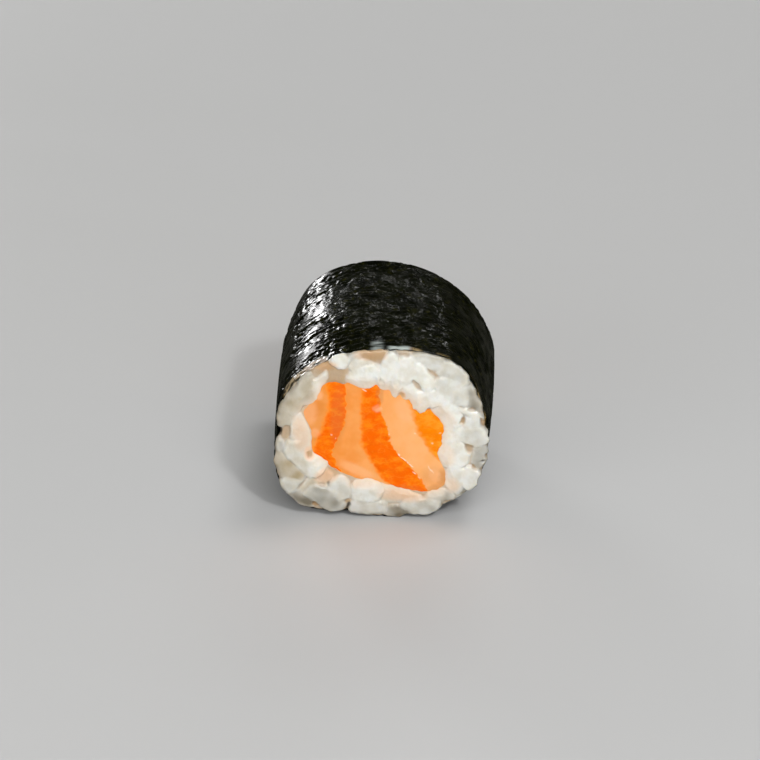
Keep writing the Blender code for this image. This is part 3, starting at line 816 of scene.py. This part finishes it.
def grain_layers(x, z, bent, grains):
    """The heights and the looks of the mash and of each grain, one layer for each."""
    draw = random.Random(SEED)
    heights = [MASH_LEVEL + noise_sum(MASH_RELIEF, x, z)]
    looks = {name: [np.full(x.shape, MASH_TAN if name == "tan" else 0.0)] for name in GRAIN_LOOKS}
    for top, kind, strength, corners in grains:
        inside = depth_inside(*bent, corners) + GRAIN_SPREAD
        dome = np.sqrt(1 - np.clip(1 - inside / GRAIN_EDGE, 0, 1) ** 2)
        dome += GRAIN_CROWN[0] * smooth_step(inside / GRAIN_CROWN[1])
        lean = draw.uniform(0, 2 * math.pi)
        middle_x, middle_z = np.mean(corners, axis=0)
        slope = (x - middle_x) * math.cos(lean) + (z - middle_z) * math.sin(lean)
        slope *= draw.uniform(*GRAIN_TILTS)
        heights.append(top - GRAIN_DEPTH * (1 - dome) + np.minimum(inside, 0) * GRAIN_FOOT + slope)
        shown = strength * (LOOK_EDGE + LOOK_MIDDLE[0] * smooth_step(inside / LOOK_MIDDLE[1]))
        for name in GRAIN_LOOKS:
            looks[name].append((kind == name) * shown)
    return np.stack(heights), looks


def rice_surface(x, z, grains, hollows):
    """The pressed grains' height beyond the nori's edge, and their looks."""
    bent = [place + noise_sum(rows, x, z) for place, rows in zip((x, z), GRAIN_WARPS)]
    heights, layers = grain_layers(x, z, bent, grains)
    highest = heights.max(axis=0)
    height = highest + GRAIN_SOFTNESS * np.log(np.exp((heights - highest) / GRAIN_SOFTNESS).sum(axis=0))
    height -= TALL[1] * np.clip(height - TALL[0], 0, None)
    height += noise_sum(GRAIN_RELIEF, x, z)
    weight = np.exp((heights - highest) / LOOK_SOFTNESS)
    weight /= weight.sum(axis=0)
    looks = {name: (np.stack(parts) * weight).sum(axis=0) for name, parts in layers.items()}
    cloudy = noise_sum(CLOUD_NOISE, x, z)
    for name, way in (("beige", 1), ("grey", -1)):
        looks[name] *= LOOK_GAIN + way * LOOK_CLOUDS[0] * cloudy
        looks[name] += way * LOOK_CLOUDS[1] * cloudy
    for level, kind, strength, corners in hollows:
        inside = smooth_step((depth_inside(*bent, corners) + HOLLOW_SPREAD) / HOLLOW_WALL)
        height = height * (1 - inside) + np.minimum(height, level) * inside
        looks[kind] = np.maximum(looks[kind], strength * inside)
    return height, np.stack([np.clip(looks[name], 0, 1) for name in GRAIN_LOOKS])


def back_outline(x, z, turned, draw):
    """The outline of one grain at this place, lying more or less round the roll."""
    angle = turned + math.pi / 2 + math.radians(draw.uniform(-BACK_LEAN, BACK_LEAN))
    out_x, out_z = math.cos(angle), math.sin(angle)
    length, width = (draw.uniform(*sizes) for sizes in BACK_SIZES)
    corners = []
    for k in range(BACK_CORNERS):
        turn = -(k + draw.uniform(-BACK_JITTER, BACK_JITTER)) * 2 * math.pi / BACK_CORNERS
        along, across = length / 2 * math.cos(turn), width / 2 * math.sin(turn)
        corners.append((x + along * out_x - across * out_z, z + along * out_z + across * out_x))
    return corners


def back_grains(inner, outer):
    """Grains spread evenly over the back cut face."""
    draw = random.Random(SEED)
    middles, outlines = [], []
    while len(outlines) < BACK_GRAINS:
        tries = []
        for _ in range(BACK_TRIES):
            k = draw.randrange(RICE_AROUND)
            reach = inner[k] + (outer[k] - inner[k]) * draw.uniform(*BACK_SHARES)
            turned = math.radians(k * 360 / RICE_AROUND)
            x, z = reach * math.cos(turned), AXIS_HEIGHT + reach * math.sin(turned)
            room = min((math.hypot(x - at[0], z - at[1]) for at in middles), default=0)
            tries.append((room, x, z, turned))
        _, x, z, turned = max(tries)
        middles.append((x, z))
        outlines.append(back_outline(x, z, turned, draw))
    grains = []
    for corners in outlines:
        kind = draw.choice(BACK_LOOKS)
        grains.append((draw.uniform(*BACK_TOPS), kind, draw.uniform(*BACK_STRENGTHS), corners))
    return grains


def rice_borders(turned, salmon, roll, lap, surface, bulging):
    """Where the rice starts, on the salmon's edge, and where it ends, at the nori."""
    cos, sin = np.cos(turned[:, 0]), np.sin(turned[:, 0])
    over = surface(salmon[:, None] + LAP_SEARCH)[0] > FLESH_LEVEL + LAP_RISE
    start = salmon + np.where(over.any(axis=1), LAP_SEARCH[over.argmax(axis=1)], 0)
    start = blurred(np.minimum(start, salmon - SALMON_LAP), BORDER_BLUR, True)
    start += noise_sum(START_RAGGED, salmon * cos, salmon * sin) - START_INSET
    inside, outside = surface(roll[:, None] + (-BORDER_READ, BORDER_READ))[0].T
    end = roll + lap - GAP[0] * smooth_step((GRAIN_LEVEL - inside) / GAP[1])
    if bulging:
        end += BULGE[0] * smooth_step((outside - GRAIN_LEVEL) / BULGE[1])
        end = blurred(end, BORDER_BLUR, True)
    end += noise_sum(END_RAGGED, roll * cos, roll * sin) - END_SETBACK
    return start[:, None], end[:, None]


def rice_face(angles, salmon, roll, lap, grains, hollows=(), blushes=()):
    """One cut face: rings of points from the salmon to the nori, with their values."""
    turned = np.radians(angles)[:, None]

    def surface(reach):
        return rice_surface(reach * np.cos(turned), AXIS_HEIGHT + reach * np.sin(turned), grains, hollows)

    start, end = rice_borders(turned, salmon, roll, lap, surface, bool(blushes))
    reach = start + (end - start) * np.linspace(0, 1, RICE_ACROSS)
    height, looks = surface(np.minimum(reach, end - BORDER_READ))
    from_start, from_end = reach - start, end - reach
    x, z = reach * np.cos(turned), AXIS_HEIGHT + reach * np.sin(turned)
    meat = salmon_level(x, z, flesh_at(x, z)[0])
    height = np.maximum(height, (meat + LAP_THICK[0]) * (1 - smooth_step(from_start / LAP_THICK[1])))
    height = np.minimum(height, meat - LAP_DIP + LAP_SLOPE * from_start)
    worn = noise_sum(WORN, x, z - AXIS_HEIGHT)
    hidden, thick, thicker = SHADE_HIDDEN
    # Painted shade on the rim where the rice meets the nori, partly the nori showing behind it; less
    # where the rice stands thick.
    rim_shade_paint = RIM_SHADE[0] * (1 - hidden * smooth_step((height - thick) / thicker))
    rim_shade_paint *= (1 + SHADE_WORN * worn) * np.exp(-from_end / RIM_SHADE[1])
    rim_width, rim_drop = (usual + varied * worn for usual, varied in (RIM_WIDTH, RIM_DROP))
    rim = np.clip(1 - from_end / rim_width, 0, 1)
    height -= rim_drop * (1 - np.sqrt(1 - rim**2))
    grey = GRAIN_LOOKS.index("grey")
    # the painted rim shade goes into the grey look
    looks[grey] = np.clip(np.maximum(looks[grey], rim_shade_paint), 0, 1)
    strength, wide, falling = BLUSH_WIDE
    blush = strength * np.clip(1 - (reach - salmon[:, None]) / wide, 0, 1) ** falling
    blush += BLUSH_NARROW[0] * np.exp(-from_start / BLUSH_NARROW[1])
    if blushes:
        blush = np.maximum(blush, oval_marks(x, z, blushes, *BLUSH_OVALS).max(axis=0))
    # the last value says how near the salmon's edge a place is; it lowers the scattering there and
    # carries the painted brightening
    return reach, height, np.stack([*looks, blush, np.exp(-from_start / THIN_REACH)], axis=-1)


def rice_end(angles, outwards, reach, height, salmon, roll):
    """Points at one end: out beside the salmon, over the cut face and in again at the nori."""
    inside = reach[:, 0] + RICE_TURN
    wall = np.minimum(reach[:, -1], roll - NORI_ROOM)
    rim = HALF + np.minimum(height[:, -1], 0.0) - RICE_TURN
    borders = (
        (np.maximum(inside, salmon + SALMON_ROOM), HALF - RICE_DEPTH),
        (inside, HALF),
        (wall, rim),
        (wall, HALF - RICE_DEPTH),
    )
    columns = [around_axis(angles, far, outwards * y)[:, None] for far, y in borders]
    columns.insert(2, around_axis(angles[:, None], reach, outwards * (HALF + height)))
    points = np.concatenate(columns, axis=1)
    points[..., 2] = np.maximum(points[..., 2], RICE_LOWEST)
    return points


def make_rice():
    """Grains pressed into a ring, with both cut faces in full detail."""
    angles = np.arange(RICE_AROUND) * 360 / RICE_AROUND
    ends = (-HALF + END_INSET, HALF - END_INSET)
    salmon = blurred(reach_of("salmon", angles, ends), OUTLINE_BLUR, True)
    roll = blurred(reach_of("nori", angles, ends), OUTLINE_BLUR, True)
    top = smooth_step((RIM_TOP[0] - np.abs(angles - 90)) / RIM_TOP[1])
    front_lap = RIM_LAP - (RIM_LAP + RIM_INSET) * top
    shapes = placed_outlines(FRONT_GRAINS), placed_outlines(FRONT_HOLLOWS), FRONT_BLUSHES
    front = rice_face(angles, salmon[:, 0], roll[:, 0], front_lap, *shapes)
    back = rice_face(angles, salmon[:, 1], roll[:, 1], -BACK_INSET, back_grains(salmon[:, 1], roll[:, 1]))
    rings, looks = [], []
    for k, (reach, height, values) in enumerate((front, back)):
        outwards = 2 * k - 1
        points = rice_end(angles, outwards, reach, height, salmon[:, k], roll[:, k])
        values = np.pad(values, ((0, 0), (2, 2), (0, 0)), mode="edge")
        rings.append(points[:, ::-outwards])
        looks.append(values[:, ::-outwards])
    points = np.concatenate(rings, axis=1)
    faces = quads(*points.shape[:2], True, True)
    piece = new_piece("rice_grains", points, faces, rice_look(), "rice", "rice")
    keep_values(piece, RICE_VALUES, np.concatenate(looks, axis=1))


# Salmon


def flesh_at(x, z):
    """How much each place on the cut face is orange flesh, yellow flesh, and fat as on the right."""
    px, py = to_photo(x, z)
    px += noise_sum(BAND_WARPS, x, z)
    bands = []
    for sides in FLESH_BANDS:
        left, right = (np.interp(py, side[::2], side[1::2]) for side in sides)
        band = smooth_step((px - left) / LEFT_SOFTNESS + 0.5)
        bands.append(band * smooth_step((right - px) / RIGHT_SOFTNESS + 0.5))
    return np.max(bands, axis=0), bands[-1], smooth_step((px - FAT_SIDES[0]) / FAT_SIDES[1])


def salmon_level(x, z, flesh):
    """How far the salmon's cut faces stand out beyond the nori's edges."""
    level = FAT_LEVEL + (FLESH_LEVEL - FAT_LEVEL) * flesh
    return level + noise_sum(SALMON_RELIEF, x, z) + flesh * noise_sum(FLESH_RELIEF, x, z)


def salmon_face(angles, reach, outwards, across):
    """One cut face: rings of points from its middle outwards, with their values."""
    shares = np.linspace(0, 1, across + 1)[1:]
    points = around_axis(angles[:, None], reach[:, None] * shares, 0.0)
    x, z = points[..., 0], points[..., 2]
    flesh, yellow, side = flesh_at(x, z)
    painted_highlight, brown, cloud = np.zeros((3, *x.shape))
    if outwards < 0:
        bent = x + noise_sum(SPECK_WARPS, x, z)
        # painted glints, with a few light specks
        painted_highlight = oval_marks(bent, z, FLESH_GLINTS_AND_SPECKS, *GLINT_SPECK_OVALS).max(axis=0)
        brown = oval_marks(bent, z, FLESH_SHADES, *SHADE_OVALS).max(axis=0)
        cloud = oval_marks(bent, z, FLESH_CLOUDS, *CLOUD_OVALS, power=2).sum(axis=0)
    points[..., 1] = outwards * (HALF + salmon_level(x, z, flesh) + SPECK_HEIGHT * painted_highlight)
    values = np.stack([flesh, yellow, side, painted_highlight, brown, cloud], axis=-1)
    return points[:, ::-outwards], values[:, ::-outwards]


def with_tips(grid):
    """A grid's rows one after another, and then the middles of its first and last ring."""
    return np.concatenate([grid.reshape(-1, grid.shape[-1]), grid[:, (0, -1)].mean(axis=0)])


def make_salmon():
    """The strip of salmon, with both cut faces in full detail."""
    angles = np.arange(SALMON_AROUND) * 360 / SALMON_AROUND
    along = np.linspace(-HALF + END_INSET, HALF - END_INSET, SALMON_ALONG)
    side = blurred(reach_of("salmon", angles, along), OUTLINE_BLUR, True)
    front, front_values = salmon_face(angles, side[:, 0], -1, SALMON_FRONT)
    back, back_values = salmon_face(angles, side[:, -1], 1, SALMON_BACK)
    middle = around_axis(angles[:, None], side, along)[:, 1:-1]
    middle_values = np.repeat(front_values[:, -1:], SALMON_ALONG - 2, axis=1)
    points = np.concatenate([front, middle, back], axis=1)
    values = np.concatenate([front_values, middle_values, back_values], axis=1)
    rows, columns = points.shape[:2]
    faces = quads(rows, columns, True, False)
    tip = rows * columns
    for k in range(rows):
        this, after = k * columns, (k + 1) % rows * columns
        faces.append([tip, this, after])
        faces.append([tip + 1, after + columns - 1, this + columns - 1])
    piece = new_piece("salmon_strip", with_tips(points), faces, salmon_look(), "salmon", "salmon")
    keep_values(piece, SALMON_VALUES, with_tips(values))


# Stage


def make_floor():
    """A plain light grey floor."""
    mesh = bpy.data.meshes.new("floor")
    far = FLOOR_REACH
    mesh.from_pydata([(-far, -far, 0), (far, -far, 0), (far, far, 0), (-far, far, 0)], [], [[0, 1, 2, 3]])
    mesh.materials.append(Look("floor").finish(Base_Color=FLOOR_GREY, Roughness=0.7))
    floor = new_object("floor", mesh)
    floor.visible_glossy = False  # so that the nori's sides stay dark


def add_light(name, place, size, watts, mirrored):
    """A soft square light aimed at the piece, which glossy surfaces mirror or not."""
    light = bpy.data.lights.new(name, "AREA")
    light.size = size
    light.energy = watts
    lamp = new_object(name, light)
    lamp.visible_glossy = mirrored
    lamp.location = place
    aim = Vector((0, 0, AXIS_HEIGHT * MM)) - lamp.location
    lamp.rotation_euler = aim.to_track_quat("-Z", "Y").to_euler()


def make_lights():
    """Soft studio light, and the small lights that the nori's creases mirror."""
    for name, settings in LIGHTS.items():
        add_light(name, *settings)
    first, last = GLINT_LEANS
    for k in range(GLINTS):
        lean = math.radians(first + (last - first) * k / (GLINTS - 1))
        out = np.array((math.sin(lean), 0, math.cos(lean)))
        place = GLINT_FAR * (FORWARD - 2 * (out @ FORWARD) * out)
        add_light(f"glint_{k}", place, *GLINT)


def make_room():
    """The faint light from all around."""
    world = bpy.data.worlds.new("room")
    world.use_nodes = True
    background = world.node_tree.nodes["Background"]
    background.inputs["Color"].default_value = ROOM_COLOUR
    background.inputs["Strength"].default_value = ROOM_STRENGTH
    bpy.context.scene.world = world
    bpy.context.scene.view_settings.view_transform = "Standard"


def make_camera():
    """The camera, where the photograph was taken from."""
    camera = bpy.data.cameras.new("camera")
    camera.sensor_width = SENSOR
    camera.lens = LENS
    camera.clip_start = CAMERA_NEAR
    holder = new_object("camera", camera)
    turned = Matrix([RIGHT, UP, -FORWARD]).transposed().to_4x4()
    holder.matrix_world = Matrix.Translation(Vector(CAMERA_AT) * MM) @ turned
    bpy.context.scene.camera = holder


make_camera()
make_floor()
make_lights()
make_room()
make_nori()
make_rice()
make_salmon()
